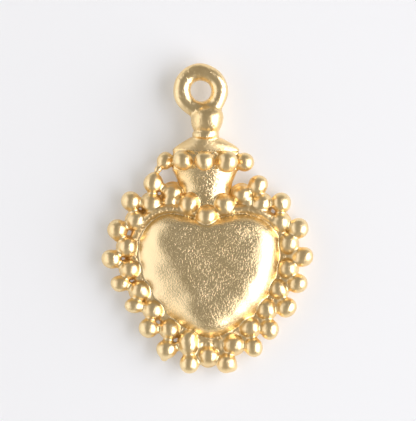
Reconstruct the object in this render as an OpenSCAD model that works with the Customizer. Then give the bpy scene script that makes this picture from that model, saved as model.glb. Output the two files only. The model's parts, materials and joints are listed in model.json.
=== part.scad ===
// Heart charm with a halo of beads, a flared neck and a hanging ring. It lies on its flat back.
// The origin is on the back face under the middle of the heart, +Y runs up to the ring, +Z out of the face.

/* [Heart] */
// Width of the puffed heart across its two lobes
heart_width = 11.4; // [10:0.1:12.5]
// Height of the heart from the tops of its lobes to its tip
heart_height = 10; // [9:0.1:12]
// Depth of the cleft below the tops of the lobes
cleft_depth = 0.95; // [0.6:0.05:2]
// Height of the dome over the back plate
dome_height = 2; // [1.5:0.1:3.2]
// Wall of the hollow dome and of the hollow neck
shell_wall = 0.45; // [0.3:0.05:0.6]

/* [Back plate] */
// Thickness of the flat back plate
plate_thickness = 0.7; // [0.5:0.05:1.2]
// Width of the flange that the plate leaves round the heart
flange_width = 0.35; // [0.2:0.05:0.6]
// Width of the arms of plate that run out from the flange under the inner beads
arm_width = 0.7; // [0.5:0.05:0.9]

/* [Beads] */
// Diameter of a bead in the two rows of the halo
bead_d = 1.62; // [1.4:0.02:1.8]
// Diameter of the solder stems that tie a bead to what it stands just clear of
stem_d = 0.7; // [0.4:0.05:0.8]
// Diameter of a bead in the crown round the mouth of the neck
crown_bead_d = 1.6; // [1.4:0.05:1.8]
// Diameter of the three beads over the cleft
cleft_bead_d = 1.68; // [1.4:0.02:1.8]

/* [Neck] */
// Width of the flared mouth of the neck
mouth_width = 5.2; // [4.6:0.1:5.8]
// Rise of the mouth over the back plate
mouth_rise = 1.5; // [1.2:0.1:1.9]
// Width of the foot of the neck
foot_width = 3.6; // [3:0.1:4.2]
// Length of the neck from the tops of the lobes to the mouth
neck_length = 3.4; // [3:0.1:4.5]
// Length of the straight band that carries the crown beads
band_length = 1.6; // [1.4:0.05:2]
// Distance of the neck to the left of the middle of the heart
neck_shift = 0.22; // [0:0.02:0.4]

/* [Lid and collar] */
// Length of the domed lid above the band
lid_length = 1; // [0.8:0.05:1.6]
// Width of the lid where it meets the collar
lid_top_width = 2.5; // [2.3:0.1:3]
// Diameter of the collar
collar_d = 2.1; // [1.9:0.05:2.5]
// Length of the collar along the neck
collar_length = 0.42; // [0.36:0.02:0.7]

/* [Ball and ring] */
// Diameter of the ball
ball_d = 2.66; // [2.5:0.02:3]
// Depth that the ball sinks into the collar
ball_sink = 0.33; // [0.2:0.01:0.35]
// Distance of the ball to the right of the neck's middle
ball_shift = 0.1; // [0:0.02:0.3]
// Outer diameter of the hanging ring
ring_outer_d = 4.38; // [4:0.02:5]
// Diameter of the hole in the hanging ring
ring_hole_d = 1.68; // [1.4:0.02:2]
// Angle in degrees that the ring leans to the left
ring_lean = 12.5; // [0:0.5:20]

/* [Hidden] */
$fn = 72;
gold = [0.86, 0.70, 0.42];
pale_gold = [0.93, 0.83, 0.62];
deep_gold = [0.74, 0.58, 0.32];

// One overrun for every cut, and the thickness of the slices that the lid is drawn over
overrun = 1;
slice = 0.05;

// The heart's outline is two lobe circles, two long side arcs and two short lines down into the cleft
lobe_share = 0.2465;
lobe_r = lobe_share * heart_width;
lobe_x = heart_width / 2 - lobe_r;
lobe_top_y = heart_height / 2;
lobe_y = lobe_top_y - lobe_r;
tip_drop = lobe_y + heart_height / 2;
side_x = (pow(tip_drop, 2) - pow(heart_width / 2, 2)) / heart_width;
side_r = heart_width / 2 + side_x;
cleft_y = lobe_top_y - cleft_depth;
cleft_span = norm([lobe_x, cleft_y - lobe_y]);
cleft_turn = 180 - atan2(cleft_y - lobe_y, lobe_x) - acos(lobe_r / cleft_span);
lobe_steps = 12;
side_steps = 10;

// The dome's section is nearly flat on top, falls faster and faster, and ends in a short steep foot
dome_power = 4;
dome_fullness = 1.5;
dome_steps = 10;

// A point of the right half, named by the way its outward normal turns, and its distance out
function turn_centre(turn) = turn > 0 ? [lobe_x, lobe_y] : [-side_x, lobe_y];
function turn_radius(turn) = turn > 0 ? lobe_r : side_r;
function rim_point(turn, out) =
    turn_centre(turn) + (turn_radius(turn) + out) * [cos(turn), sin(turn)];
function tip_turn(out) = acos(side_x / (side_r + out));
function half_outline(out) = concat(
    [[0, cleft_y + out / sin(cleft_turn)]],
    [for (k = [0:lobe_steps]) rim_point(cleft_turn * (1 - k / lobe_steps), out)],
    [for (k = [1:side_steps]) rim_point(-tip_turn(out) * k / side_steps, out)]
);
function heart_outline(out) =
    let (half = half_outline(out))
    concat(half, [for (k = [len(half) - 2:-1:1]) [-half[k].x, half[k].y]]);

// The neck is cut from a turned vase whose axis runs along Y below the back plate's top
mouth_half = mouth_width / 2;
foot_half = foot_width / 2;
axis_depth = (pow(mouth_half, 2) - pow(mouth_rise, 2)) / (2 * mouth_rise);
axis_z = plate_thickness - axis_depth;
neck_x = -neck_shift;
mouth_y = lobe_top_y + neck_length;
band_end_y = mouth_y + band_length;
lid_top_y = band_end_y + lid_length;
flare_power = 2.25;
flare_steps = 8;
flare_ys = [for (k = [0:flare_steps]) lobe_top_y + neck_length * k / flare_steps];
function flare(y) = pow(max(0, min(1, (y - lobe_top_y) / neck_length)), flare_power);
function neck_half(y) = foot_half + (mouth_half - foot_half) * flare(y);
function neck_radius(y) = norm([neck_half(y), axis_depth]);
mouth_radius = neck_radius(mouth_y);

// The lid swells a little between its foot and its top
lid_swell_share = 0.3;
lid_swell_width_share = 0.92;
lid_swell_y = band_end_y + lid_swell_share * lid_length;
lid_swell_half = lid_swell_width_share * mouth_half;

// The ball, collar and ring share one height, with the ball just clear of what the charm lies on
ball_r = ball_d / 2;
ball_lift = 0.02;
finial_z = ball_r + ball_lift;
ball_centre = [neck_x + ball_shift, lid_top_y + collar_length + ball_r - ball_sink, finial_z];

// The ring's round wire is a little fuller than its width, so that the hole has a straight land
ring_outer_r = ring_outer_d / 2;
ring_hole_r = ring_hole_d / 2;
ring_width = ring_outer_r - ring_hole_r;
wire_share = 0.52;
wire_r = wire_share * ring_width;
ring_sink_share = 0.86;
ring_reach = ring_outer_r + ball_r - ring_sink_share * ring_width;
ring_centre = ball_centre + ring_reach * [-sin(ring_lean), cos(ring_lean), 0];

// The halo's beads lie at one height, sunk into the plate's pads by this share of their radius
bead_r = bead_d / 2;
stem_r = stem_d / 2;
bead_seat_share = 0.45;
bead_z = plate_thickness + bead_seat_share * bead_r;
pad_share = 0.83;
// Places between one inner bead and the next that the plate fills, by number from the first bead
filled_places = [7, 8, 9, 10];
pad_r = pad_share * bead_r;
stem_root_share = 0.8;
// A stem is drawn where a bead's centre stands further than this share of its radius from the face
// where it meets its neighbour
stem_need_share = 0.945;

// Inner row, from the right of the neck round the tip to its left. A row holds the bead's place
// round the outline, from 1 at the top of the lobe over 0 at its side to -1 at the tip, its
// distance out in bead radii, and its size
right_inner_shares = [
    [1.03, 1.75, 1], [0.755, 1.15, 1], [0.38, 0.8, 1], [0.055, 0.9, 1], [-0.155, 1.05, 1],
    [-0.325, 0.8, 1], [-0.5, 0.85, 1], [-0.68, 1, 1], [-0.845, 1.65, 1], [-1.03, 1.9, 1]
];
left_inner_shares = [
    [-0.87, 1.35, 1.05], [-0.705, 0.9, 1], [-0.515, 0.7, 1], [-0.34, 0.8, 1], [-0.165, 1, 1],
    [0.005, 1, 1], [0.395, 1, 1], [0.71, 1.3, 1], [1, 1.9, 0.92]
];
// Outer row in the same order. A row holds the slide along the pair of inner beads that the bead
// nests between, its push out from them, both in bead radii, and its size
outer_shares = [
    [-0.05, 1.5, 1], [0, 1.45, 1], [0.1, 1.5, 1], [0.1, 1.5, 1], [-0.15, 1.5, 1], [0, 1.65, 1],
    [0.05, 1.55, 1], [0.05, 1.55, 1], [0.05, 1.4, 1], [0.1, 1.65, 1], [0.1, 1.8, 1], [0.2, 1.55, 1],
    [0.25, 1.35, 0.85], [0.3, 1.5, 0.9], [0.05, 1.7, 1], [-0.05, 1.5, 1], [-0.05, 1.65, 1],
    [-0.05, 1.7, 1]
];
// Crown, from left to right. A row holds the place round the mouth, where 1 is down at the plate,
// the place along the band, and the bead's size
crown_shares = [
    [-1.06, 0.44, 0.87], [-0.49, 0.44, 0.99], [-0.03, 0.44, 0.97], [0.45, 0.38, 1.07], [0.95, 0.38, 0.95]
];
crown_seat_share = 0.93;
// Beads over the cleft. A row holds the place across the foot in half foot widths, the place above
// the cleft in bead diameters, and the bead's size
cleft_shares = [[-0.74, 0.95, 1], [0.06, 0.34, 1], [0.85, 0.89, 1]];
cleft_lift_share = 0.35;

function inner_bead(side, row) =
    let (turn = row[0] * (row[0] > 0 ? 90 : tip_turn(0)), place = rim_point(turn, row[1] * bead_r))
    let (outward = [side * cos(turn), sin(turn), 0])
    [[side * place.x, place.y, bead_z], row[2] * bead_r, outward, row[1] * bead_r];
inner_beads = concat(
    [for (row = right_inner_shares) inner_bead(1, row)],
    [for (row = left_inner_shares) inner_bead(-1, row)]
);
function outer_bead(k) =
    let (from = inner_beads[k][0], to = inner_beads[k + 1][0], along = (to - from) / norm(to - from))
    [(from + to) / 2 + outer_shares[k][0] * bead_r * along
        + outer_shares[k][1] * bead_r * [-along.y, along.x, 0], outer_shares[k][2] * bead_r];
outer_beads = [for (k = [0:len(outer_shares) - 1]) outer_bead(k)];
mouth_arc = asin(mouth_half / mouth_radius);
function crown_bead(row) =
    let (r = row[2] * crown_bead_d / 2, turn = row[0] * mouth_arc)
    let (swing = mouth_radius + crown_seat_share * r)
    [[neck_x + swing * sin(turn), mouth_y + row[1] * band_length, axis_z + swing * cos(turn)], r, turn];
crown_beads = [for (row = crown_shares) crown_bead(row)];
function cleft_bead(row) =
    let (
        r = row[2] * cleft_bead_d / 2,
        across = row[0] * foot_half,
        y = cleft_y + row[1] * cleft_bead_d,
        face_z = axis_z + sqrt(pow(neck_radius(y), 2) - pow(across, 2))
    )
    [[neck_x + across, y, face_z + cleft_lift_share * r], r];
cleft_beads = [for (row = cleft_shares) cleft_bead(row)];

// Distance from a bead's centre to the plane where its sphere meets another's, or would if larger
function meeting(bead, other) =
    let (gap = norm(other[0] - bead[0]))
    (pow(gap, 2) + pow(bead[1], 2) - pow(other[1], 2)) / (2 * gap);

function two_digits(n) = n < 10 ? str("0", n) : str(n);
inner_names = [for (k = [1:len(inner_beads)]) str("inner_bead_", two_digits(k))];
outer_names = [for (k = [1:len(outer_beads)]) str("outer_bead_", two_digits(k))];
crown_names = [for (k = [1:len(crown_beads)]) str("crown_bead_", k)];
cleft_names = [for (k = [1:len(cleft_beads)]) str("cleft_bead_", k)];

// Space below the two straight lines of the cleft, which holds the whole heart near its cleft
module below_cleft() {
    drop = heart_width / tan(cleft_turn);
    translate([0, 0, plate_thickness - overrun])
        linear_extrude(dome_height + 2 * overrun)
            polygon([
                [0, cleft_y], [heart_width, cleft_y - drop], [heart_width, -heart_height],
                [-heart_width, -heart_height], [-heart_width, cleft_y - drop]
            ]);
}

// Everything below the top of the back plate
module below_plate_top() {
    translate([-heart_width, -heart_height, plate_thickness - heart_height])
        cube([2 * heart_width, 3 * heart_height, heart_height]);
}

// Turns a shape drawn round Z so that it stands round the neck's line along Y
module along_neck(height) {
    translate([neck_x, 0, height]) rotate([-90, 0, 0]) children();
}

// Vase between two heights, thinner than the neck's outer face by thin
module vase(thin, low, high) {
    ys = concat([low], [for (y = flare_ys) if (y > low && y < high) y], [high]);
    side = [for (y = ys) [neck_radius(y) - thin, y]];
    along_neck(axis_z) rotate_extrude() polygon(concat([[0, low]], side, [[0, high]]));
}

// Sphere of a bead of the halo, turned with the bead's place round the heart
module halo_sphere(bead) {
    translate(bead[0]) rotate(atan2(bead[0].y, bead[0].x)) sphere(bead[1]);
}

// Round bar that starts just inside a bead's skin and ends at a distance from the bead's centre
module stem(bead, way, reach) {
    root = stem_root_share * sqrt(pow(bead[1], 2) - pow(stem_r, 2));
    translate(bead[0])
        rotate([0, acos(way.z / norm(way)), atan2(way.y, way.x)])
            translate([0, 0, root])
                cylinder(r = stem_r, h = reach - root);
}

// Stem towards another bead, where the two spheres do not run well into each other
module stem_to_bead(bead, other) {
    way = other[0] - bead[0];
    if (norm(way) > stem_need_share * (bead[1] + other[1])) stem(bead, way, meeting(bead, other));
}

// Space past a plane that stands square to a direction, at a distance from a point
module past_plane(point, way, distance) {
    size = 4 * bead_d;
    translate(point)
        rotate([0, acos(way.z / norm(way)), atan2(way.y, way.x)])
            translate([-size / 2, -size / 2, distance])
                cube(size);
}

// Space past the plane where a bead's sphere runs into another's, or nothing where they stay apart
module past_meeting(bead, other) {
    way = other[0] - bead[0];
    if (norm(way) < bead[1] + other[1]) past_plane(bead[0], way, meeting(bead, other));
}

// Flat sheet: a flange round the heart, an arm and a round pad under each inner bead, a tongue up
// under the neck and the lid, and the places between beads near the tip that are filled
module back_plate() {
    color(deep_gold) {
        linear_extrude(plate_thickness) polygon(heart_outline(flange_width));
        for (bead = inner_beads) plate_arm(bead);
        for (k = filled_places) plate_web(inner_beads[k - 1], inner_beads[k]);
        linear_extrude(plate_thickness) plate_tongue();
    }
}

// Foot of an inner bead's stem, on the outline of the heart
function bead_foot(bead) = [bead[0].x, bead[0].y] - bead[3] * [bead[2].x, bead[2].y];

// Arm from the heart out to one inner bead, with the bead's round pad
module plate_arm(bead) {
    translate([bead[0].x, bead[0].y]) {
        cylinder(r = pad_r, h = plate_thickness);
        rotate(atan2(-bead[2].y, -bead[2].x))
            translate([0, -arm_width / 2])
                cube([bead[3], arm_width, plate_thickness]);
    }
}

// Filled place between two inner beads and their feet on the heart
module plate_web(bead, other) {
    linear_extrude(plate_thickness)
        polygon([
            [bead[0].x, bead[0].y], [other[0].x, other[0].y], bead_foot(other), bead_foot(bead)
        ]);
}

// Tongue of plate that runs up under the neck and the lid
module plate_tongue() {
    top_half = sqrt(pow(lid_top_width / 2, 2) - pow(finial_z - plate_thickness, 2));
    right = concat(
        [[foot_half, cleft_y]],
        [for (y = flare_ys) [neck_half(y), y]],
        [[mouth_half, band_end_y], [lid_swell_half, lid_swell_y], [top_half, lid_top_y]]
    );
    left = [for (k = [len(right) - 1:-1:0]) [-right[k].x, right[k].y]];
    translate([neck_x, 0]) polygon(concat(right, left));
}

function dome_ring(out, height, turn) =
    let (grow = pow(sin(turn), 2 / dome_power), rise = height * pow(cos(turn), dome_fullness))
    [for (p = heart_outline(out)) [grow * p.x, grow * p.y, plate_thickness + rise]];

// Puffed shell, one skin of rings from the middle of its inside down to its foot and up its outside
module heart_dome() {
    inner_height = dome_height - shell_wall;
    turns = [for (k = [1:dome_steps]) 90 * k / dome_steps];
    inside = [for (turn = turns) dome_ring(-shell_wall, inner_height, turn)];
    outside = [for (k = [dome_steps - 1:-1:0]) dome_ring(0, dome_height, turns[k])];
    rings = concat(inside, outside);
    count = len(rings[0]);
    last = 1 + len(rings) * count;
    points = concat(
        [[0, 0, plate_thickness + inner_height]],
        [for (ring = rings) each ring],
        [[0, 0, plate_thickness + dome_height]]
    );
    walls = [
        for (r = [0:len(rings) - 2], k = [0:count - 1])
            let (a = 1 + r * count, b = a + count, next = (k + 1) % count)
            each [[a + k, a + next, b + next], [a + k, b + next, b + k]]
    ];
    inner_cap = [for (k = [0:count - 1]) [0, 1 + (k + 1) % count, 1 + k]];
    top = last - count;
    outer_cap = [for (k = [0:count - 1]) [last, top + k, top + (k + 1) % count]];
    color(pale_gold) polyhedron(points, concat(walls, inner_cap, outer_cap));
}

module neck() {
    color(gold)
        difference() {
            vase(0, cleft_y, band_end_y);
            vase(shell_wall, lobe_top_y + shell_wall, band_end_y - shell_wall);
            below_plate_top();
            below_cleft();
        }
}

// Slice of the lid, the part of a circle that stands above the back plate
module lid_slice(y, half, centre_z, radius) {
    intersection() {
        along_neck(centre_z) translate([0, 0, y]) cylinder(r = radius, h = slice);
        translate([neck_x - half, y, plate_thickness]) cube([2 * half, slice, 2 * radius]);
    }
}

module lid() {
    swell_z = axis_z + (mouth_half - lid_swell_half);
    swell_radius = norm([lid_swell_half, swell_z - plate_thickness]);
    color(gold)
        hull() {
            lid_slice(band_end_y, mouth_half, axis_z, mouth_radius);
            lid_slice(lid_swell_y, lid_swell_half, swell_z, swell_radius);
            lid_slice(lid_top_y - slice, lid_top_width / 2, finial_z, lid_top_width / 2);
        }
}

module collar() {
    collar_r = collar_d / 2;
    edge_r = collar_length / 2;
    color(pale_gold)
        difference() {
            along_neck(finial_z)
                translate([0, 0, lid_top_y])
                    rotate_extrude() {
                        square([collar_r - edge_r, collar_length]);
                        translate([collar_r - edge_r, edge_r]) circle(edge_r);
                    }
            translate(ball_centre) sphere(ball_r);
        }
}

// Ring of round wire with a short straight land round its hole
module ring_solid() {
    translate(ring_centre)
        rotate_extrude()
            intersection() {
                translate([ring_outer_r - wire_r, 0]) circle(wire_r);
                translate([ring_hole_r, -ring_width]) square(2 * ring_width);
            }
}

module hanging_ring() {
    color(gold) ring_solid();
}

module ball() {
    color(gold)
        difference() {
            translate(ball_centre) sphere(ball_r);
            ring_solid();
        }
}

// Crown bead k, seated on the band
module crown_bead_solid(k) {
    bead = crown_beads[k];
    color(gold)
        difference() {
            translate(bead[0]) rotate([0, bead[2], 0]) rotate(90) sphere(bead[1]);
            along_neck(axis_z) cylinder(r = mouth_radius, h = lid_top_y);
            for (j = [k - 1, k + 1])
                if (j >= 0 && j < len(crown_beads)) past_meeting(bead, crown_beads[j]);
        }
}

// Bead k over the cleft, seated on the neck's foot
module cleft_bead_solid(k) {
    bead = cleft_beads[k];
    color(gold)
        difference() {
            translate(bead[0]) sphere(bead[1]);
            along_neck(axis_z) cylinder(r = neck_radius(bead[0].y + bead[1]), h = mouth_y);
            below_plate_top();
            below_cleft();
            for (j = [k - 1, k + 1])
                if (j >= 0 && j < len(cleft_beads)) past_meeting(bead, cleft_beads[j]);
            for (other = [inner_beads[0], inner_beads[len(inner_beads) - 1]]) past_meeting(bead, other);
        }
}

// Bead k of the inner row, on its pad, with stems to the dome and to its outer neighbours
module inner_bead_solid(k) {
    bead = inner_beads[k];
    place = bead[0];
    outer_neighbours = [for (j = [k - 1, k]) if (j >= 0 && j < len(outer_beads)) outer_beads[j]];
    row_neighbours = [for (j = [k - 1, k + 1]) if (j >= 0 && j < len(inner_beads)) inner_beads[j]];
    beside_neck = k == 0 || k == len(inner_beads) - 1;
    color(gold)
        difference() {
            union() {
                difference() {
                    halo_sphere(bead);
                    if (bead[3] < bead[1]) past_plane(place, -bead[2], bead[3]);
                    for (other = concat(outer_neighbours, row_neighbours, cleft_beads))
                        past_meeting(bead, other);
                }
                if (bead[3] > stem_need_share * bead[1]) stem(bead, -bead[2], bead[3]);
                for (other = outer_neighbours) stem_to_bead(bead, other);
            }
            below_plate_top();
            if (beside_neck) {
                towards_neck = [sign(neck_x - place.x), 0, 0];
                past_plane(place, towards_neck, abs(neck_x - place.x) - neck_half(place.y + bead[1]));
            }
        }
}

// Bead k of the outer row, with stems to the two inner beads that it nests between
module outer_bead_solid(k) {
    bead = outer_beads[k];
    row_neighbours = [for (j = [k - 1, k + 1]) if (j >= 0 && j < len(outer_beads)) outer_beads[j]];
    color(gold)
        union() {
            difference() {
                halo_sphere(bead);
                for (other = concat([inner_beads[k], inner_beads[k + 1]], row_neighbours))
                    past_meeting(bead, other);
            }
            for (j = [k, k + 1]) stem_to_bead(bead, inner_beads[j]);
        }
}

back_plate();
heart_dome();
neck();
lid();
collar();
ball();
hanging_ring();
for (k = [0:len(crown_names) - 1])
    crown_bead_solid(k);
for (k = [0:len(cleft_names) - 1])
    cleft_bead_solid(k);
for (k = [0:len(inner_names) - 1])
    inner_bead_solid(k);
for (k = [0:len(outer_names) - 1])
    outer_bead_solid(k);
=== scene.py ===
# Cast heart charm, satin gold. Everything is modelled as one soft cast form in millimetres,
# cut into the charm's own pieces, and lit flat on a white table.
import json
import math

import bpy
import numpy as np
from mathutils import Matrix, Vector


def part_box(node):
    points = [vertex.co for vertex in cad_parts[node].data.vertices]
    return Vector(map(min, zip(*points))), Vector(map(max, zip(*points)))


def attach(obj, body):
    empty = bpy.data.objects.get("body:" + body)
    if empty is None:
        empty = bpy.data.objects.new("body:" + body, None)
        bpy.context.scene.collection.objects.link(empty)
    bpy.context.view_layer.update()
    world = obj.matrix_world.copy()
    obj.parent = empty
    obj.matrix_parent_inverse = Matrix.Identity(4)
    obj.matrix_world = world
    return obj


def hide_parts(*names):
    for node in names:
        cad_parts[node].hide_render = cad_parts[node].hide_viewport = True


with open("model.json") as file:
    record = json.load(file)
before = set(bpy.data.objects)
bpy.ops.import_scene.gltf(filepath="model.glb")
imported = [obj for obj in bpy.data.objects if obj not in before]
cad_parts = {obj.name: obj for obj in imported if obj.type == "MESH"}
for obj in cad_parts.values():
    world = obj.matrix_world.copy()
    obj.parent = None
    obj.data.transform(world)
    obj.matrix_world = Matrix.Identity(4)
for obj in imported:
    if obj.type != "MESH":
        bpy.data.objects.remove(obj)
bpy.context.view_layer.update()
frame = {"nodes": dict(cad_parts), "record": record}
mm = 0.001
rng = np.random.default_rng(11)

# how the whole casting is modelled
casting = {
    "step": 0.1,          # mesh cell on beads and small parts
    "margin": 0.35,       # the mesh grid goes past a piece by this
    "solder": 0.075,      # softness of the joints, bigger is fatter
    "lap": 0.03,          # neighbours run into each other by this
    "sink": 0.3,          # dome, neck and lid reach down into the plate by this
    "reach": 0.5,         # how far a piece looks for neighbours
    "tile": 1.5,          # block of space that shares one list of neighbours
    "formFar": 2.5,       # a form counts as no further off than this
    "far": 3.0,           # the distance given to empty space
    "waveLengths": (4.0, 1.7),
    "waveHeights": (0.02, 0.01),
    "steadyBack": 0.9,    # the back is flat, and the waves grow up to this height
    "slopeStep": 0.012,   # step for reading the slope of a form
    "pulls": 3,           # times that a vertex is pulled on to the surface
    "leastSlopes": (0.2, 0.05),   # squared slopes of skin and cut don't count as less
    "creaseNear": 0.5,    # vertices go on to the edge of skin and cut from this far, in cells
    "creaseTurn": 0.05,   # unless skin and cut run nearly the same way
    "smoothTurn": 0.55,   # a cosine: faces that turn further off the form stay sharp
    "smoothNear": 0.03,   # and so do corners further than this from the skin
}


# reading the frame
def corners(name):
    low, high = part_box(name)
    return np.array(low) / mm, np.array(high) / mm


ballSearch = {"tries": 12, "keepShare": 0.6, "slack": 0.004}


def beadFit(name):
    # the bead's true ball, found through whatever was cut off it
    pts = np.array([v.co for v in frame["nodes"][name].data.vertices]) / mm
    keep = np.ones(len(pts), bool)
    for tries in range(ballSearch["tries"]):
        q = pts[keep]
        a = np.c_[2 * q, np.ones(len(q))]
        sol = np.linalg.lstsq(a, (q * q).sum(1), rcond=None)[0]
        centre = sol[:3]
        r = math.sqrt(max(sol[3] + centre @ centre, 1e-6))
        off = np.abs(np.linalg.norm(pts - centre, axis=1) - r)
        keep = off <= max(np.quantile(off, ballSearch["keepShare"]), ballSearch["slack"])
    return centre, r


# distances to simple forms, all in mm
def roundBall(p, centre, radii):
    q = p - centre
    k0 = np.linalg.norm(q / radii, axis=1)
    k1 = np.linalg.norm(q / np.square(radii), axis=1) + 1e-9
    return k0 * (k0 - 1) / k1


def rod(p, a, b, r):
    ab = b - a
    t = np.clip((p - a) @ ab / (ab @ ab), 0, 1)
    return np.linalg.norm(p - a - t[:, None] * ab, axis=1) - r


def softMax(a, b, k):
    h = np.clip(0.5 + 0.5 * (a - b) / k, 0, 1)
    return b + (a - b) * h + k * h * (1 - h)


def roundedEdge(a, b, edge):
    # inside both a and b, with the corner rounded
    qa, qb = a + edge, b + edge
    return np.minimum(np.maximum(qa, qb), 0) + np.hypot(np.maximum(qa, 0), np.maximum(qb, 0)) - edge


waveDirs = rng.normal(size=(len(casting["waveLengths"]), 3, 3, 3))
waveDirs /= np.linalg.norm(waveDirs, axis=3, keepdims=True)
wavePhases = rng.uniform(0, 2 * math.pi, size=waveDirs.shape[:3])


def handMade(p):
    # nothing on a hand-made casting is quite round or straight
    out = p.copy()
    ones = np.ones(len(p))
    loose = np.stack([ones, ones, np.clip(p[:, 2] / casting["steadyBack"], 0, 1)])
    for i, length in enumerate(casting["waveLengths"]):
        for j in range(3):
            for axis in range(3):
                wave = np.sin(p @ waveDirs[i, j, axis] * (2 * math.pi / length) + wavePhases[i, j, axis])
                out[:, axis] += casting["waveHeights"][i] * wave * loose[axis]
    return out


# the puffed heart
heart = {
    "lobe": 0.2465,       # lobe radius as a share of the width
    "cleft": 0.95,        # depth of the cleft
    "arcPoints": 60,
    "power": 4.5,         # 2 is a plain dome, more is flatter on top
    "rightPower": 2,      # the right side stays flat for longer, the left falls sooner
    "upperPower": 11,     # the lobes stay nearly flat up to the beads
    "upperNarrow": 2,     # more keeps that to a narrower stretch of the outline
    "tipPower": 12,       # the tip stays flat too
    "tipNarrow": 8,
    "calm": 0.3,          # evens out the middle, where all these meet
    "lean": 0.3,          # the lower right side stands out by this
    "leanTurn": 50,       # degrees down from the right
    "leanNarrow": 1.5,
    "softTurn": (7, 60),  # blur of the outline high up: degrees, and half degrees that it reaches
    "crispTurn": (1.2, 20),
    "wall": 0.45,         # the upright foot of the dome
    "shoulder": 0.16,     # rounding between wall and dome
    "step": 0.085,        # mesh cell on the heart
}
domeLow, domeHigh = corners("heart_dome")
heartWidth, heartHeight = domeHigh[0] - domeLow[0], domeHigh[1] - domeLow[1]
plateTop, domeRise = domeLow[2], domeHigh[2] - domeLow[2]


def heartOutline():
    # two lobe circles, two long side arcs and two short lines into the cleft
    half, tall = heartWidth / 2, heartHeight / 2
    lobeR = heart["lobe"] * heartWidth
    lobeX, lobeY = half - lobeR, tall - lobeR
    sideX = ((lobeY + tall) ** 2 - half ** 2) / heartWidth
    sideR = half + sideX
    cleftY = tall - heart["cleft"]
    span = math.hypot(lobeX, cleftY - lobeY)
    cleftTurn = math.pi - math.atan2(cleftY - lobeY, lobeX) - math.acos(lobeR / span)
    pts = [(0, cleftY)]
    for t in np.linspace(cleftTurn, 0, heart["arcPoints"]):
        pts.append((lobeX + lobeR * math.cos(t), lobeY + lobeR * math.sin(t)))
    for t in np.linspace(0, math.acos(sideX / sideR), heart["arcPoints"])[1:]:
        pts.append((-sideX + sideR * math.cos(t), lobeY - sideR * math.sin(t)))
    return np.array(pts)


def blurRound(radius, turn, reach):
    # for a radius that is given at every half degree
    bell = np.exp(-0.5 * (np.arange(-reach, reach + 1) / 2 / turn) ** 2)
    return np.convolve(np.r_[radius[-reach:], radius, radius[:reach]], bell / bell.sum(), "valid")


def polarHeart():
    # the outline as a radius for each direction, crisp and blurred
    half = heartOutline()
    whole = np.vstack([half, half[-2:0:-1] * (-1, 1)])
    turn = np.arctan2(whole[:, 1], whole[:, 0])
    order = np.argsort(turn)
    turn, radius = turn[order], np.hypot(*whole[order].T)
    at = np.linspace(-math.pi, math.pi, 721)[:-1]   # every half degree
    crisp = np.interp(at, turn, radius, period=2 * math.pi)
    soft = blurRound(crisp, *heart["softTurn"])
    crisp = blurRound(crisp, *heart["crispTurn"])
    lean = np.clip(np.cos(at + math.radians(heart["leanTurn"])), 0, 1)
    lean = heart["lean"] * lean ** heart["leanNarrow"]
    return at, crisp + lean, soft + lean


heartTurns, heartCrisp, heartSoft = polarHeart()
heartTable = np.stack([heartCrisp, heartSoft, np.gradient(heartCrisp, heartTurns)])
heartTable = np.hstack([heartTable, heartTable[:, :2]])


def heartAt(x, y):
    # crisp radius, soft radius and slope of the outline in the direction of a point
    at = (np.arctan2(y, x) + math.pi) * (len(heartTurns) / (2 * math.pi))
    i = at.astype(int)
    return heartTable[:, i] * (1 - (at - i)) + heartTable[:, i + 1] * (at - i)


def heartShare(p, height):
    # 0 at the middle, 1 on the outline; higher up the outline is the soft one
    crisp, soft, slope = heartAt(p[:, 0], p[:, 1])
    edge = crisp + (soft - crisp) * height
    share = np.hypot(p[:, 0], p[:, 1]) / edge
    return share, np.hypot(1, slope / edge) / edge


def domeDistance(p):
    # flat on top, falling faster and faster to a short upright foot
    far = casting["far"]
    rise = domeRise - heart["wall"]
    up = (p[:, 2] - plateTop - heart["wall"]) / rise
    share, shareSlope = heartShare(p, np.clip(up, 0, 1))
    out = np.hypot(p[:, 0], p[:, 1]) + heart["calm"]
    n = heart["power"] + heart["rightPower"] * p[:, 0] / out
    n += heart["upperPower"] * np.clip(p[:, 1] / out, 0, 1) ** heart["upperNarrow"]
    n += heart["tipPower"] * np.clip(-p[:, 1] / out, 0, 1) ** heart["tipNarrow"]
    steep = np.hypot(n * share ** (n - 1) * shareSlope, 1 / rise)
    top = np.clip((share ** n + up - 1) / steep, -far, far)
    wall = np.clip((share - 1) / shareSlope, -far, far)
    return np.maximum(softMax(top, wall, heart["shoulder"]), plateTop - casting["sink"] - p[:, 2])


# neck, lid, collar
neck = {
    "foot": 1.8,          # half width at the foot
    "flare": 2.25,        # more keeps it slim for longer
    "band": 1.6,          # straight stretch under the lid
    "sideTilt": 0.75,     # steepness of the arch at its sides
    "sideEdge": 0.09,
    "rim": 0.12,
    "root": 1.1,          # how far it runs in under the lobes
    "fullness": 0.95,
}
lid = {
    "taper": 1.35,
    "swell": 0.08,
    "past": 1.1,          # the taper runs on past the lid's top, up to this
    "drop": 0.3,          # it ends below the collar's top by this
    "topTilt": 1.35,
    "sideEdge": 0.16,
    "rim": 0.1,
    "overrun": (0.1, 0.05),   # into the neck and into the collar
    "narrow": 0.02,       # narrower than the collar by this
    "fullness": 0.8,
}
collar = {"overrun": 0.05, "rim": 0.2}
neckLow, neckHigh = corners("neck")
lidLow, lidHigh = corners("lid")
collarLow, collarHigh = corners("collar")
neckX = (neckLow[0] + neckHigh[0]) / 2
mouthHalf = (neckHigh[0] - neckLow[0]) / 2
mouthRise = neckHigh[2] - plateTop
axisDepth = (mouthHalf ** 2 - mouthRise ** 2) / (2 * mouthRise)
axisZ = plateTop - axisDepth
bandEnd, lidTop = neckHigh[1], lidHigh[1]
mouthY = bandEnd - neck["band"]
lobeTopY = domeHigh[1]
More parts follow.
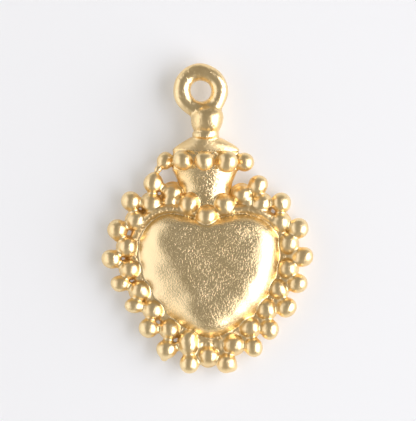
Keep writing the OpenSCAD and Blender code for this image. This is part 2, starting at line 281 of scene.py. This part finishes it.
collarZ = (collarLow[2] + collarHigh[2]) / 2
collarR = (collarHigh[0] - collarLow[0]) / 2


def neckHalf(y):
    flare = np.clip((y - lobeTopY) / (mouthY - lobeTopY), 0, 1) ** neck["flare"]
    return neck["foot"] + (mouthHalf - neck["foot"]) * flare


def archDistance(p, half, top, tilt, edge):
    # an arch over the neck's line, as steep as tilt at its sides, on upright walls
    r = half / np.sin(tilt)
    arch = np.hypot(p[:, 0] - neckX, p[:, 2] - top + r) - r
    return softMax(arch, np.abs(p[:, 0] - neckX) - half, edge)


def neckDistance(p):
    y = p[:, 1]
    half = neckHalf(y)
    top = np.hypot(half, axisDepth) + axisZ
    side = archDistance(p, half, top, neck["sideTilt"], neck["sideEdge"])
    ends = np.maximum(y - bandEnd, lobeTopY - neck["root"] - y)
    whole = roundedEdge(side * neck["fullness"], ends, neck["rim"])
    return np.maximum(whole, plateTop - casting["sink"] - p[:, 2])


def lidDistance(p):
    # from the wide low arch of the mouth in to the collar, with a low swell on the way
    t = np.clip((p[:, 1] - bandEnd) / (lidTop - bandEnd), 0, lid["past"])
    half = mouthHalf + (collarR - lid["narrow"] - mouthHalf) * t ** lid["taper"]
    climb = collarHigh[2] - lid["drop"] - neckHigh[2]
    top = neckHigh[2] + climb * t + lid["swell"] * np.sin(math.pi * t)
    tilt = neck["sideTilt"] + (lid["topTilt"] - neck["sideTilt"]) * t ** 2
    side = archDistance(p, half, top, tilt, lid["sideEdge"])
    below, above = lid["overrun"]
    ends = np.maximum(p[:, 1] - lidTop - above, bandEnd - below - p[:, 1])
    whole = roundedEdge(side * lid["fullness"], ends, lid["rim"])
    return np.maximum(whole, plateTop - casting["sink"] - p[:, 2])


def collarDistance(p):
    middle = (collarLow[1] + collarHigh[1]) / 2
    half = (collarHigh[1] - collarLow[1]) / 2 + collar["overrun"]
    across = np.hypot(p[:, 0] - neckX, p[:, 2] - collarZ) - collarR
    return roundedEdge(across, np.abs(p[:, 1] - middle) - half, collar["rim"])


# ball and ring
finial = {
    "ball": (1.07, 0.98, 1),
    "keel": 0.24,         # half the distance between the two rounds that meet in the keel
    "keelR": 1.56,        # their radius
    "keelGrow": 0.6,      # how the radius follows the keel
    "keelFade": 0.9,      # how fast the keel fades towards the ring
    "keelSpan": (0.2, 1.9),
    "soft": 0.1,
    "wireShare": 0.505,   # wire radius as a share of the ring's width
}
ballLow, ballHigh = corners("ball")
ringLow, ringHigh = corners("hanging_ring")
ballR = (ballHigh[0] - ballLow[0]) / 2
ballAt = np.array([(ballLow[0] + ballHigh[0]) / 2, ballLow[1] + ballR, (ballLow[2] + ballHigh[2]) / 2])
holeR = next(m for m in frame["record"]["mounts"] if m["kind"] == "bore")["dims"]["r_mm"]
ringR = (ringHigh[0] - ringLow[0]) / 2
ringAt = (ringLow + ringHigh) / 2
wireR = (ringR - holeR) * finial["wireShare"]


def ballDistance(p):
    # a ball with a soft keel down its front that fades towards the ring
    whole = roundBall(p, ballAt, ballR * np.array(finial["ball"]))
    q = p - ballAt
    keel = finial["keel"] * np.clip(1 - finial["keelFade"] * q[:, 1] / ballR, *finial["keelSpan"])
    r = finial["keelR"] + (keel - finial["keel"]) * finial["keelGrow"]
    left = np.hypot(np.hypot(q[:, 0] - keel, q[:, 1]), q[:, 2]) - r
    right = np.hypot(np.hypot(q[:, 0] + keel, q[:, 1]), q[:, 2]) - r
    return softMax(whole, softMax(left, right, finial["soft"]), finial["soft"])


def ringDistance(p):
    q = p - ringAt
    across = np.hypot(q[:, 0], q[:, 1]) - (ringR - wireR)
    return np.hypot(across, q[:, 2]) - wireR


# beads
beadLook = {
    "oval": 0.035,        # how far from round a bead may be
    "stem": 0.3,          # between two beads
    "foot": 0.42,         # between an inner bead and the heart
    "footShare": (1.03, 1.03, 0.8),   # where on the heart's outline that foot ends
    "filled": (4, 5, 6, 7, 8, 9, 10),   # outer beads with the pocket behind them run full of solder
    "fill": (0.62, 0.62, 0.4),
    "fillDrop": 0.2,
    "mound": (0.98, 0.92, 0.75),        # low mound of solder that each cleft bead sits on
    "moundAt": (0, -0.05, -0.5),
    "special": {          # beads that are plainly not round
        "outer_bead_13": (1.12, 0.9, 1), "outer_bead_14": (1.1, 0.92, 1),
        "inner_bead_11": (0.94, 1.15, 1), "inner_bead_19": (1.05, 0.95, 1),
    },
}
innerNames = sorted(n for n in frame["nodes"] if n.startswith("inner_bead"))
outerNames = sorted(n for n in frame["nodes"] if n.startswith("outer_bead"))
crownNames = sorted(n for n in frame["nodes"] if n.startswith("crown_bead"))
cleftNames = sorted(n for n in frame["nodes"] if n.startswith("cleft_bead"))
beadNames = innerNames + outerNames + crownNames + cleftNames
beads = {}
for name in beadNames:
    centre, r = beadFit(name)
    oval = 1 + rng.uniform(-1, 1, 3) * beadLook["oval"]
    beads[name] = (centre, r, r * oval * np.array(beadLook["special"].get(name, (1, 1, 1))))

# drips of metal that stand on some beads: bead, place, radius
drips = [
    ("crown_bead_1", (-4.05, 8.42, 1.0), 0.3), ("outer_bead_18", (-4.42, 7.78, 1.25), 0.42),
    ("outer_bead_16", (-7.3, 2.95, 1.0), 0.3), ("outer_bead_09", (1.9, -7.55, 1.0), 0.34),
    ("outer_bead_11", (-3.6, -6.75, 0.95), 0.28), ("inner_bead_11", (-1.45, -5.0, 1.3), 0.45),
    ("inner_bead_10", (-0.8, -5.75, 0.8), 0.55), ("inner_bead_10", (0.9, -5.65, 0.8), 0.6),
    ("cleft_bead_1", (-3.05, 5.75, 0.95), 0.7), ("inner_bead_01", (3.15, 5.7, 0.95), 0.7),
]
print("beads measured", len(beads))


def halfway(a, b):
    return a + (b - a) * 0.5


def outlineFoot(point):
    # the place on the heart's outline straight in from a bead
    foot = np.array(point, float)
    foot[:2] *= heartAt(point[:1], point[1:2])[0] / math.hypot(point[0], point[1])
    return foot


def beadForms(name):
    centre, r, radii = beads[name]
    forms = [lambda p: roundBall(p, centre, radii)]
    low, high = corners(name)
    ends = [low, high, centre - r, centre + r]

    def addRod(end, r=beadLook["stem"]):
        forms.append(lambda p: rod(p, centre, end, r))
        ends.extend([end - r, end + r])

    def addBlob(at, size):
        at, size = np.array(at), np.array(size)
        forms.append(lambda p: roundBall(p, at, size))
        ends.extend([at - size, at + size])
    if name in outerNames:
        k = outerNames.index(name)
        for other in (innerNames[k], innerNames[k + 1]):
            addRod(halfway(centre, beads[other][0]))
        if k + 1 in beadLook["filled"]:
            pocket = (centre + beads[innerNames[k]][0] + beads[innerNames[k + 1]][0]) / 3
            addBlob(pocket - (0, 0, beadLook["fillDrop"]), beadLook["fill"])
    if name in innerNames:
        k = innerNames.index(name)
        for j in (k - 1, k):
            if 0 <= j < len(outerNames):
                addRod(halfway(centre, beads[outerNames[j]][0]))
        addRod(outlineFoot(centre) * beadLook["footShare"], beadLook["foot"])
    if name in cleftNames:
        addBlob(centre + beadLook["moundAt"], beadLook["mound"])
    for owner, place, size in drips:
        if owner == name:
            addBlob(place, (size, size, size))
    return forms, np.min(ends, axis=0), np.max(ends, axis=0)


# back plate
plate = {
    "flange": 0.5,        # sheet that shows round the heart
    "pad": 0.92,          # round pad under each inner bead
    "arm": 0.42,          # half width of the arms from the pads to the heart
    "armEndShare": 0.93,
    "web": 0.75,          # half width where the arms fill the places between them
    "webbed": (0, 1, 7, 8, 9, 10, 17, 18),   # inner beads, counted from the upper right
    "bridged": (0, 7, 8, 9, 17),             # these are also tied to the next one
    "bridge": 0.3,
    "innerBridge": 0.45,
    "edge": 0.16,
    "tongueTip": 1.05,    # half width at the collar of the part behind the neck
    "tongueFrom": 3,
    "seam": 0.54,         # height of the solder round the heart's foot
    "seamOut": 0.22,
    "topSeam": 0.6,       # how much higher it is round the lobes
    "topSeamFrom": 2.8,
    "topSeamOver": 2,
    "seamTo": 5.6,
}
plateArms = []
for k, name in enumerate(innerNames):
    middle = beads[name][0] * (1, 1, 0)
    wide = plate["web" if k in plate["webbed"] else "arm"]
    plateArms.append((middle, outlineFoot(middle) * plate["armEndShare"], wide))
    if k in plate["bridged"]:
        nextOne = beads[innerNames[k + 1]][0] * (1, 1, 0)
        plateArms.append((middle, nextOne, plate["bridge"]))
        start, end = halfway(middle, outlineFoot(middle)), halfway(nextOne, outlineFoot(nextOne))
        plateArms.append((start, end, plate["innerBridge"]))
padCentres = [beads[name][0] * (1, 1, 0) for name in innerNames]


def plateDistance(p):
    share, slope = heartShare(p, np.zeros(len(p)))
    flat = (share - 1) / slope - plate["flange"]
    level = p * (1, 1, 0)
    middle = level.mean(0)
    reach = np.abs(level - middle).max() * 1.5 + casting["formFar"]   # pads further off don't matter
    for centre in padCentres:
        if np.linalg.norm(centre - middle) < reach:
            flat = np.minimum(flat, np.linalg.norm(level - centre, axis=1) - plate["pad"])
    for start, end, wide in plateArms:
        if np.linalg.norm(start - middle) < reach:
            flat = np.minimum(flat, rod(level, start, end, wide))
    y = p[:, 1]
    t = np.clip((y - bandEnd) / (lidTop - bandEnd), 0, 1)
    behindLid = mouthHalf + (plate["tongueTip"] - mouthHalf) * t ** lid["taper"]
    half = np.where(y > bandEnd, behindLid, neckHalf(y))
    tongue = np.maximum(np.abs(p[:, 0] - neckX) - half, np.maximum(y - lidTop, plate["tongueFrom"] - y))
    flat = np.minimum(flat, tongue)
    thick = plateTop / 2
    sheet = roundedEdge(flat, np.abs(p[:, 2] - thick) - thick, plate["edge"])
    # solder that has run in between the heart and the beads
    out = (share - 1) / slope - plate["seamOut"]
    upper = np.clip((y - plate["topSeamFrom"]) / plate["topSeamOver"], 0, 1)
    tall = plate["seam"] + plate["topSeam"] * upper
    seam = np.hypot(out * tall / plate["seam"], p[:, 2] - plateTop) - tall
    seam = np.maximum(seam, thick - p[:, 2])
    return np.minimum(sheet, np.where(y < plate["seamTo"], seam, casting["far"]))


# one list of every piece: its forms and the box they fill
plateLow, plateHigh = corners("back_plate")
seamRise = (0, 0, plate["seam"] + plate["topSeam"])
sink = (0, 0, casting["sink"])
pieces = {
    "back_plate": ([plateDistance], plateLow, plateHigh + seamRise),
    "heart_dome": ([domeDistance], domeLow, domeHigh),
    "neck": ([neckDistance], neckLow - sink, neckHigh),
    "lid": ([lidDistance], lidLow - sink, lidHigh),
    "collar": ([collarDistance], collarLow, collarHigh),
    "ball": ([ballDistance], ballLow, ballHigh),
    "hanging_ring": ([ringDistance], ringLow, ringHigh),
}
for name in beadNames:
    pieces[name] = beadForms(name)
pieceOrder = list(pieces)
tileForms = {}
print("forms ready for", len(pieces), "pieces")


def formsAt(tile):
    # the forms of the pieces that come near one small block of space
    if tile not in tileForms:
        low = np.array(tile) * casting["tile"] - casting["reach"]
        high = low + casting["tile"] + 2 * casting["reach"]
        tileForms[tile] = [(n, f) for n in pieceOrder
                           if (pieces[n][1] < high).all() and (pieces[n][2] > low).all()
                           for f in pieces[n][0]]
    return tileForms[tile]


def castField(p, name):
    # skin: every form nearby run together with soft solder joints
    # cut: where this piece ends and its neighbours begin
    q = handMade(p)
    k, far = casting["solder"], casting["far"]
    skin, cut = np.full(len(p), far), np.full(len(p), far)
    tiles, which = np.unique(np.floor(p / casting["tile"]).astype(int), axis=0, return_inverse=True)
    which = which.ravel()
    order = np.argsort(which, kind="stable")
    ends = np.searchsorted(which[order], np.arange(len(tiles) + 1))
    for i, tile in enumerate(tiles):
        here = order[ends[i]:ends[i + 1]]
        forms = formsAt(tuple(tile))
        if not forms:
            continue
        at = q[here]
        total = np.zeros(len(here))
        own, rest = np.full(len(here), far), np.full(len(here), far)
        for n, form in forms:
            d = np.clip(form(at), -casting["formFar"], casting["formFar"])
            total += np.exp(-d / k)
            if n == name:
                own = np.minimum(own, d)
            else:
                rest = np.minimum(rest, d)
        skin[here] = -k * np.log(total)
        cut[here] = (own - rest) / 2 - casting["lap"]
    return skin, cut


def fieldSlopes(p, name):
    eps = casting["slopeStep"]
    skinSlope, cutSlope = np.zeros_like(p), np.zeros_like(p)
    for way in ((1, -1, -1), (-1, -1, 1), (-1, 1, -1), (1, 1, 1)):
        way = np.array(way, float)
        skin, cut = castField(p + way * eps, name)
        skinSlope += skin[:, None] * way
        cutSlope += cut[:, None] * way
    return skinSlope / (4 * eps), cutSlope / (4 * eps)


def netMesh(values, low, step):
    # one vertex in each cell that the surface passes through, one quad for each edge it crosses
    inside = values < 0
    shape = np.array(values.shape) - 1
    corner = [(i, j, k) for i in (0, 1) for j in (0, 1) for k in (0, 1)]

    def part(a, c):
        return a[c[0]:c[0] + shape[0], c[1]:c[1] + shape[1], c[2]:c[2] + shape[2]]
    count = sum(part(inside, c).astype(int) for c in corner)
    mixed = (count > 0) & (count < 8)
    cells = np.argwhere(mixed)
    number = np.full(mixed.shape, -1)
    number[mixed] = np.arange(len(cells))
    total = np.zeros((len(cells), 3))
    hits = np.zeros(len(cells))
    for a in corner:
        for axis in range(3):
            if a[axis]:
                continue
            b = tuple(c + (i == axis) for i, c in enumerate(a))
            va, vb = part(values, a)[mixed], part(values, b)[mixed]
            cross = (va < 0) != (vb < 0)
            t = np.where(cross, va / np.where(cross, va - vb, 1), 0)
            at = cells + np.array(a, float)
            at[:, axis] += t
            total += at * cross[:, None]
            hits += cross
    verts = low + step * total / hits[:, None]
    quads = []
    for axis in range(3):
        u, v = [a for a in range(3) if a != axis]
        ahead = np.roll(inside, -1, axis)
        cross = inside != ahead
        edge = np.argwhere(cross)
        ok = (edge[:, axis] < shape[axis]) & (edge[:, u] > 0) & (edge[:, v] > 0)
        ok &= (edge[:, u] < shape[u]) & (edge[:, v] < shape[v])
        edge = edge[ok]
        ring = []
        for du, dv in ((-1, -1), (0, -1), (0, 0), (-1, 0)):
            c = edge.copy()
            c[:, u] += du
            c[:, v] += dv
            ring.append(number[c[:, 0], c[:, 1], c[:, 2]])
        quad = np.stack(ring, 1)
        flip = inside[edge[:, 0], edge[:, 1], edge[:, 2]]
        if axis == 1:
            flip = ~flip
        quad[~flip] = quad[~flip][:, ::-1]
        quads.append(quad)
    return verts, np.vstack(quads)


def castPiece(name, step):
    low, high = pieces[name][1] - casting["margin"], pieces[name][2] + casting["margin"]
    axes = [np.arange(low[i], high[i] + step, step) for i in range(3)]
    grid = np.stack(np.meshgrid(*axes, indexing="ij"), -1)
    values = np.maximum(*castField(grid.reshape(-1, 3), name))
    verts, quads = netMesh(values.reshape(grid.shape[:3]), low, step)
    for pull in range(casting["pulls"]):
        # every vertex goes on to the true surface, and on to the edge where skin and cut meet
        skin, cut = castField(verts, name)
        g, h = fieldSlopes(verts, name)
        gg, hh, gh = (g * g).sum(1), (h * h).sum(1), (g * h).sum(1)
        skinLeast, cutLeast = casting["leastSlopes"]
        gg, hh = np.maximum(gg, skinLeast), np.maximum(hh, cutLeast)
        both = np.abs(skin - cut) < casting["creaseNear"] * step
        det = gg * hh - gh * gh
        both &= det > casting["creaseTurn"] * gg * hh
        det = np.where(both, det, 1)
        onSkin = np.where(both, (skin * hh - cut * gh) / det, np.where(skin >= cut, skin / gg, 0))
        onCut = np.where(both, (cut * gg - skin * gh) / det, np.where(skin < cut, cut / hh, 0))
        move = g * onSkin[:, None] + h * onCut[:, None]
        verts -= np.clip(move, -step / 2, step / 2)
    verts[:, 2] = np.maximum(verts[:, 2], 0)   # nothing goes below the flat back
    return verts, quads


def meshObject(name, owner, verts, quads, material):
    mesh = bpy.data.meshes.new(name)
    mesh.from_pydata((verts * mm).tolist(), [], quads.tolist())
    mesh.validate()
    mesh.update()
    mesh.shade_smooth()
    skin, cut = castField(verts, owner)
    slope = fieldSlopes(verts, owner)[0]
    slope /= np.linalg.norm(slope, axis=1, keepdims=True) + 1e-9
    faceNormals = np.empty(len(mesh.polygons) * 3)
    mesh.polygons.foreach_get("normal", faceNormals)
    faceNormals = faceNormals.reshape(-1, 3)
    loopVerts = np.empty(len(mesh.loops), int)
    mesh.loops.foreach_get("vertex_index", loopVerts)
    sides = np.empty(len(mesh.polygons), int)
    mesh.polygons.foreach_get("loop_total", sides)
    loopFaces = faceNormals[np.repeat(np.arange(len(sides)), sides)]
    smooth = (loopFaces * slope[loopVerts]).sum(1) > casting["smoothTurn"]
    smooth &= np.abs(skin[loopVerts]) < casting["smoothNear"]
    normals = np.where(smooth[:, None], slope[loopVerts], loopFaces)
    mesh.normals_split_custom_set(normals.tolist())
    mesh.materials.append(material)
    obj = bpy.data.objects.new(name, mesh)
    bpy.context.scene.collection.objects.link(obj)
    return obj


# building blocks for the materials, the table and the room
def noise(nt, place, scale, detail=2, bend=0):
    tex = nt.nodes.new("ShaderNodeTexNoise")
    tex.inputs["Scale"].default_value = scale
    tex.inputs["Detail"].default_value = detail
    tex.inputs["Distortion"].default_value = bend
    nt.links.new(place, tex.inputs["Vector"])
    return tex.outputs["Fac"]


def mathNode(nt, operation, *values):
    node = nt.nodes.new("ShaderNodeMath")
    node.operation = operation
    for socket, value in zip(node.inputs, values):
        if isinstance(value, bpy.types.NodeSocket):
            nt.links.new(value, socket)
        else:
            socket.default_value = value
    return node.outputs["Value"]


def mapRange(nt, value, start, end, low=0, high=1, kind="SMOOTHSTEP"):
    node = nt.nodes.new("ShaderNodeMapRange")
    node.interpolation_type = kind
    for name, number in (("From Min", start), ("From Max", end), ("To Min", low), ("To Max", high)):
        node.inputs[name].default_value = number
    nt.links.new(value, node.inputs["Value"])
    return node.outputs["Result"]


def bump(nt, height, depth, under=None):
    node = nt.nodes.new("ShaderNodeBump")
    node.inputs["Distance"].default_value = depth * mm
    nt.links.new(height, node.inputs["Height"])
    if under is not None:
        nt.links.new(under, node.inputs["Normal"])
    return node.outputs["Normal"]


# gold
goldWork = {
    "driftStops": (0.35, 0.65),
    "driftDetail": 4,
    "satinFiner": 3,      # the satin changes over smaller patches than the colour
    "dashDetail": 1,
    "dashBend": 0.4,
    "dashFade": 0.2,
    "dashShift": (0.01, 0, 0.02),   # for each degree of turn, so that no two layers match
    "rubbed": 0.2,        # what is left of the crinkles where they are rubbed
}


def goldSkin(name, look):
    mat = bpy.data.materials.new(name)
    mat.use_nodes = True
    nt = mat.node_tree
    nodes, links = nt.nodes, nt.links
    bsdf = nodes["Principled BSDF"]
    bsdf.inputs["Metallic"].default_value = 1
    place = nodes.new("ShaderNodeTexCoord").outputs["Object"]
    # colour drifts between a paler and a redder gold
    ramp = nodes.new("ShaderNodeValToRGB")
    tones = (look["pale"], look["deep"])
    for stop, at, tone in zip(ramp.color_ramp.elements, goldWork["driftStops"], tones):
        stop.position = at
        stop.color = (*tone, 1)
    links.new(noise(nt, place, look["driftScale"], goldWork["driftDetail"]), ramp.inputs["Fac"])
    links.new(ramp.outputs["Color"], bsdf.inputs["Base Color"])
    # satin that is not quite even
    patches = noise(nt, place, look["driftScale"] * goldWork["satinFiner"])
    links.new(mapRange(nt, patches, 0, 1, *look["rough"], "LINEAR"), bsdf.inputs["Roughness"])
    # crinkles: short dashes that lie every way, then a fine grain
    height = None
    for turn in look["dashTurns"]:
        lay = nodes.new("ShaderNodeMapping")
        lay.vector_type = "TEXTURE"
        lay.inputs["Rotation"].default_value = (0, 0, math.radians(turn))
        lay.inputs["Scale"].default_value = (1, look["dashLength"], 1)
        lay.inputs["Location"].default_value = [turn * shift for shift in goldWork["dashShift"]]
        links.new(place, lay.inputs["Vector"])
        lines = goldWork["dashDetail"], goldWork["dashBend"]
        dash = noise(nt, lay.outputs["Vector"], look["dashScale"], *lines)
        ridge = mapRange(nt, dash, look["dashRare"], look["dashRare"] + goldWork["dashFade"])
        height = ridge if height is None else mathNode(nt, "MAXIMUM", height, ridge)
    if "stripe" in look:
        # the crinkles keep to the middle, the flanks are rubbed smooth
        middle, half, soft = look["stripe"]
        axes = nodes.new("ShaderNodeSeparateXYZ")
        links.new(place, axes.inputs["Vector"])
        off = mathNode(nt, "ABSOLUTE", mathNode(nt, "SUBTRACT", axes.outputs["X"], middle * mm))
        rub = mapRange(nt, off, (half - soft) * mm, (half + soft) * mm, 1, goldWork["rubbed"])
        height = mathNode(nt, "MULTIPLY", height, rub)
    crinkled = bump(nt, height, look["dashDepth"])
    grain = noise(nt, place, look["grainScale"])
    links.new(bump(nt, grain, look["grainDepth"], crinkled), bsdf.inputs["Normal"])
    return mat


satinGold = goldSkin("satinGold", {
    "pale": (1.0, 0.79, 0.45), "deep": (0.98, 0.76, 0.41), "driftScale": 260, "rough": (0.2, 0.3),
    "dashTurns": (-50, 5, 65), "dashLength": 2.4, "dashScale": 9500, "dashRare": 0.5,
    "dashDepth": 0.0096, "grainScale": 8500, "grainDepth": 0.006, "stripe": (0.9, 4.8, 0.7),
})
lidGold = goldSkin("lidGold", {
    "pale": (1.0, 0.78, 0.43), "deep": (0.98, 0.72, 0.35), "driftScale": 320, "rough": (0.34, 0.42),
    "dashTurns": (-40, 40), "dashLength": 2, "dashScale": 6500, "dashRare": 0.58,
    "dashDepth": 0.014, "grainScale": 4800, "grainDepth": 0.01,
})
neckGold = goldSkin("neckGold", {
    "pale": (1.0, 0.79, 0.45), "deep": (0.98, 0.73, 0.36), "driftScale": 320, "rough": (0.2, 0.28),
    "dashTurns": (-40, 40), "dashLength": 2.2, "dashScale": 6500, "dashRare": 0.55,
    "dashDepth": 0.02, "grainScale": 4800, "grainDepth": 0.006, "stripe": (-0.1, 1.0, 0.35),
})
beadGold = goldSkin("beadGold", {
    "pale": (1.0, 0.79, 0.44), "deep": (1.0, 0.75, 0.39), "driftScale": 420, "rough": (0.31, 0.37),
    "dashTurns": (0,), "dashLength": 1.6, "dashScale": 2600, "dashRare": 0.5,
    "dashDepth": 0.01, "grainScale": 1500, "grainDepth": 0.014,
})
castGold = goldSkin("castGold", {
    "pale": (1.0, 0.78, 0.43), "deep": (0.98, 0.73, 0.37), "driftScale": 380, "rough": (0.25, 0.33),
    "dashTurns": (30,), "dashLength": 1.6, "dashScale": 3000, "dashRare": 0.5,
    "dashDepth": 0.014, "grainScale": 1600, "grainDepth": 0.016,
})
# painted shade: the back plate, its solder seam and the pocket fills lie low between the parts and get a
# darker, redder gold than the other pieces
shadedBackGold = goldSkin("shadedBackGold", {
    "pale": (0.97, 0.74, 0.4), "deep": (0.93, 0.66, 0.31), "driftScale": 300, "rough": (0.3, 0.42),
    "dashTurns": (-30, 50), "dashLength": 2, "dashScale": 4000, "dashRare": 0.5,
    "dashDepth": 0.02, "grainScale": 2600, "grainDepth": 0.02,
})

print("gold mixed")

finishes = {
    "back_plate": (shadedBackGold, "back_gold"), "heart_dome": (satinGold, "satin_gold"),
    "neck": (neckGold, "satin_gold"), "lid": (lidGold, "satin_gold"),
    "collar": (castGold, "cast_gold"), "ball": (castGold, "cast_gold"),
    "hanging_ring": (castGold, "cast_gold"),
}
titles = {
    "back_plate": "backPlate", "heart_dome": "puffedHeart", "neck": "flaredNeck", "lid": "neckLid",
    "collar": "ballCollar", "ball": "topBall", "hanging_ring": "hangingRing",
}

for name in pieceOrder:
    step = heart["step"] if name == "heart_dome" else casting["step"]
    verts, quads = castPiece(name, step)
    material, slotName = finishes.get(name, (beadGold, "bead_gold"))
    words = name.split("_")
    title = titles.get(name, words[0] + "Bead" + words[-1])
    piece = meshObject(title, name, verts, quads, material)
    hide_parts(name)
    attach(piece, "root")
print("cast", len(pieceOrder), "pieces")

# table, lamps, camera
studio = {
    "table": (0.72, 0.725, 0.707),
    "tableGlow": 0.24,
    "tableRough": 0.9,
    "tableShine": 0.1,
    "tableSize": 1.6,
    "tableY": 0.005,
    "tableDrop": 0.03,    # mm under the flat back, so that the two planes don't mix
    "roomAxis": (0, 0.6, 0.8),
    # brightness of the room from against that axis to along it
    "room": ((0.2, 0.65), (0.35, 0.38), (0.5, 0.35), (0.9, 0.295), (0.98, 0.285)),
    "roomTint": (1.0, 0.95, 0.88),
    "roomLevel": 0.35,
    "roomLeft": (0.42, 0.9, 0.3),   # extra light on the left: starts, is full, how much
    "rightBox": {"zenith": 59, "azimuth": -6, "far": 0.5, "size": (0.72, 0.51), "bright": 3.2,
                 "tint": (1, 1, 1.12)},
    "leftBox": {"zenith": 67, "azimuth": 177, "far": 0.5, "size": (0.88, 0.4), "bright": 0.62,
                "tint": (0.97, 1, 1.2)},
    "scale": 12.44,       # pixels to a millimetre in the picture
    "scaleHeight": 1.4,   # mm above the table where that scale holds
    "middle": (208.5, 274.0),
    "picture": (416, 421),
    "cameraHeight": 0.6,
}


def whiteTable():
    place = (0, studio["tableY"], -studio["tableDrop"] * mm)
    bpy.ops.mesh.primitive_plane_add(size=studio["tableSize"], location=place)
    table = bpy.context.object
    table.name = "whiteTable"
    mat = bpy.data.materials.new("tableWhite")
    mat.use_nodes = True
    nt = mat.node_tree
    bsdf = nt.nodes["Principled BSDF"]
    bsdf.inputs["Base Color"].default_value = (*studio["table"], 1)
    bsdf.inputs["Roughness"].default_value = studio["tableRough"]
    bsdf.inputs["Specular IOR Level"].default_value = studio["tableShine"]
    # a little of the white shows to the eye and in the metal but lights nothing
    path = nt.nodes.new("ShaderNodeLightPath")
    seen = path.outputs["Is Camera Ray"]
    for ray in ("Is Glossy Ray", "Is Transmission Ray"):
        seen = mathNode(nt, "MAXIMUM", seen, path.outputs[ray])
    glow = nt.nodes.new("ShaderNodeEmission")
    nt.links.new(mathNode(nt, "MULTIPLY", seen, studio["tableGlow"]), glow.inputs["Strength"])
    both = nt.nodes.new("ShaderNodeAddShader")
    nt.links.new(bsdf.outputs["BSDF"], both.inputs[0])
    nt.links.new(glow.outputs["Emission"], both.inputs[1])
    nt.links.new(both.outputs["Shader"], nt.nodes["Material Output"].inputs["Surface"])
    table.data.materials.append(mat)


def softBox(name, box):
    zenith, azimuth = math.radians(box["zenith"]), math.radians(box["azimuth"])
    level = math.sin(zenith)
    way = Vector((level * math.cos(azimuth), level * math.sin(azimuth), math.cos(zenith)))
    lamp = bpy.data.lights.new(name, "AREA")
    lamp.shape = "RECTANGLE"
    lamp.size, lamp.size_y = box["size"]
    lamp.energy = box["bright"] * math.pi * box["size"][0] * box["size"][1]
    lamp.color = box["tint"]
    obj = bpy.data.objects.new(name, lamp)
    obj.location = way * box["far"]
    obj.rotation_euler = way.to_track_quat("Z", "Y").to_euler()
    bpy.context.scene.collection.objects.link(obj)


def room():
    world = bpy.data.worlds.new("room")
    world.use_nodes = True
    nt = world.node_tree
    back = nt.nodes["Background"]
    way = nt.nodes.new("ShaderNodeTexCoord").outputs["Generated"]
    along = nt.nodes.new("ShaderNodeVectorMath")
    along.operation = "DOT_PRODUCT"
    along.inputs[1].default_value = studio["roomAxis"]
    nt.links.new(way, along.inputs[0])
    ramp = nt.nodes.new("ShaderNodeValToRGB")
    stops = ramp.color_ramp.elements
    for at, level in studio["room"][1:-1]:
        stops.new(at)
    for stop, (at, level) in zip(stops, studio["room"]):
        stop.position = at
        stop.color = (*[level * tint for tint in studio["roomTint"]], 1)
    share = mapRange(nt, along.outputs["Value"], -1, 1, kind="LINEAR")
    nt.links.new(share, ramp.inputs["Fac"])
    nt.links.new(ramp.outputs["Color"], back.inputs["Color"])
    # the room is brighter on the left
    start, full, extra = studio["roomLeft"]
    axes = nt.nodes.new("ShaderNodeSeparateXYZ")
    nt.links.new(way, axes.inputs["Vector"])
    left = mapRange(nt, axes.outputs["X"], -start, -full, 1, 1 + extra / studio["roomLevel"])
    nt.links.new(left, back.inputs["Strength"])
    bpy.context.scene.world = world


def overheadCamera():
    data = bpy.data.cameras.new("overheadCamera")
    obj = bpy.data.objects.new("overheadCamera", data)
    wide, high = studio["picture"]
    middleX, middleY = studio["middle"]
    x = (wide / 2 - middleX) / studio["scale"] * mm
    y = (middleY - high / 2) / studio["scale"] * mm
    obj.location = (x, y, studio["cameraHeight"])
    data.sensor_fit = "HORIZONTAL"
    data.sensor_width = 36
    across = wide / studio["scale"] * mm
    depth = studio["cameraHeight"] - studio["scaleHeight"] * mm
    data.lens = data.sensor_width * depth / across
    data.clip_start, data.clip_end = 0.01, 10
    bpy.context.scene.collection.objects.link(obj)
    bpy.context.scene.camera = obj


whiteTable()
room()
softBox("rightBox", studio["rightBox"])
softBox("leftBox", studio["leftBox"])
overheadCamera()
bpy.context.scene.view_settings.view_transform = "Standard"
print("studio set")
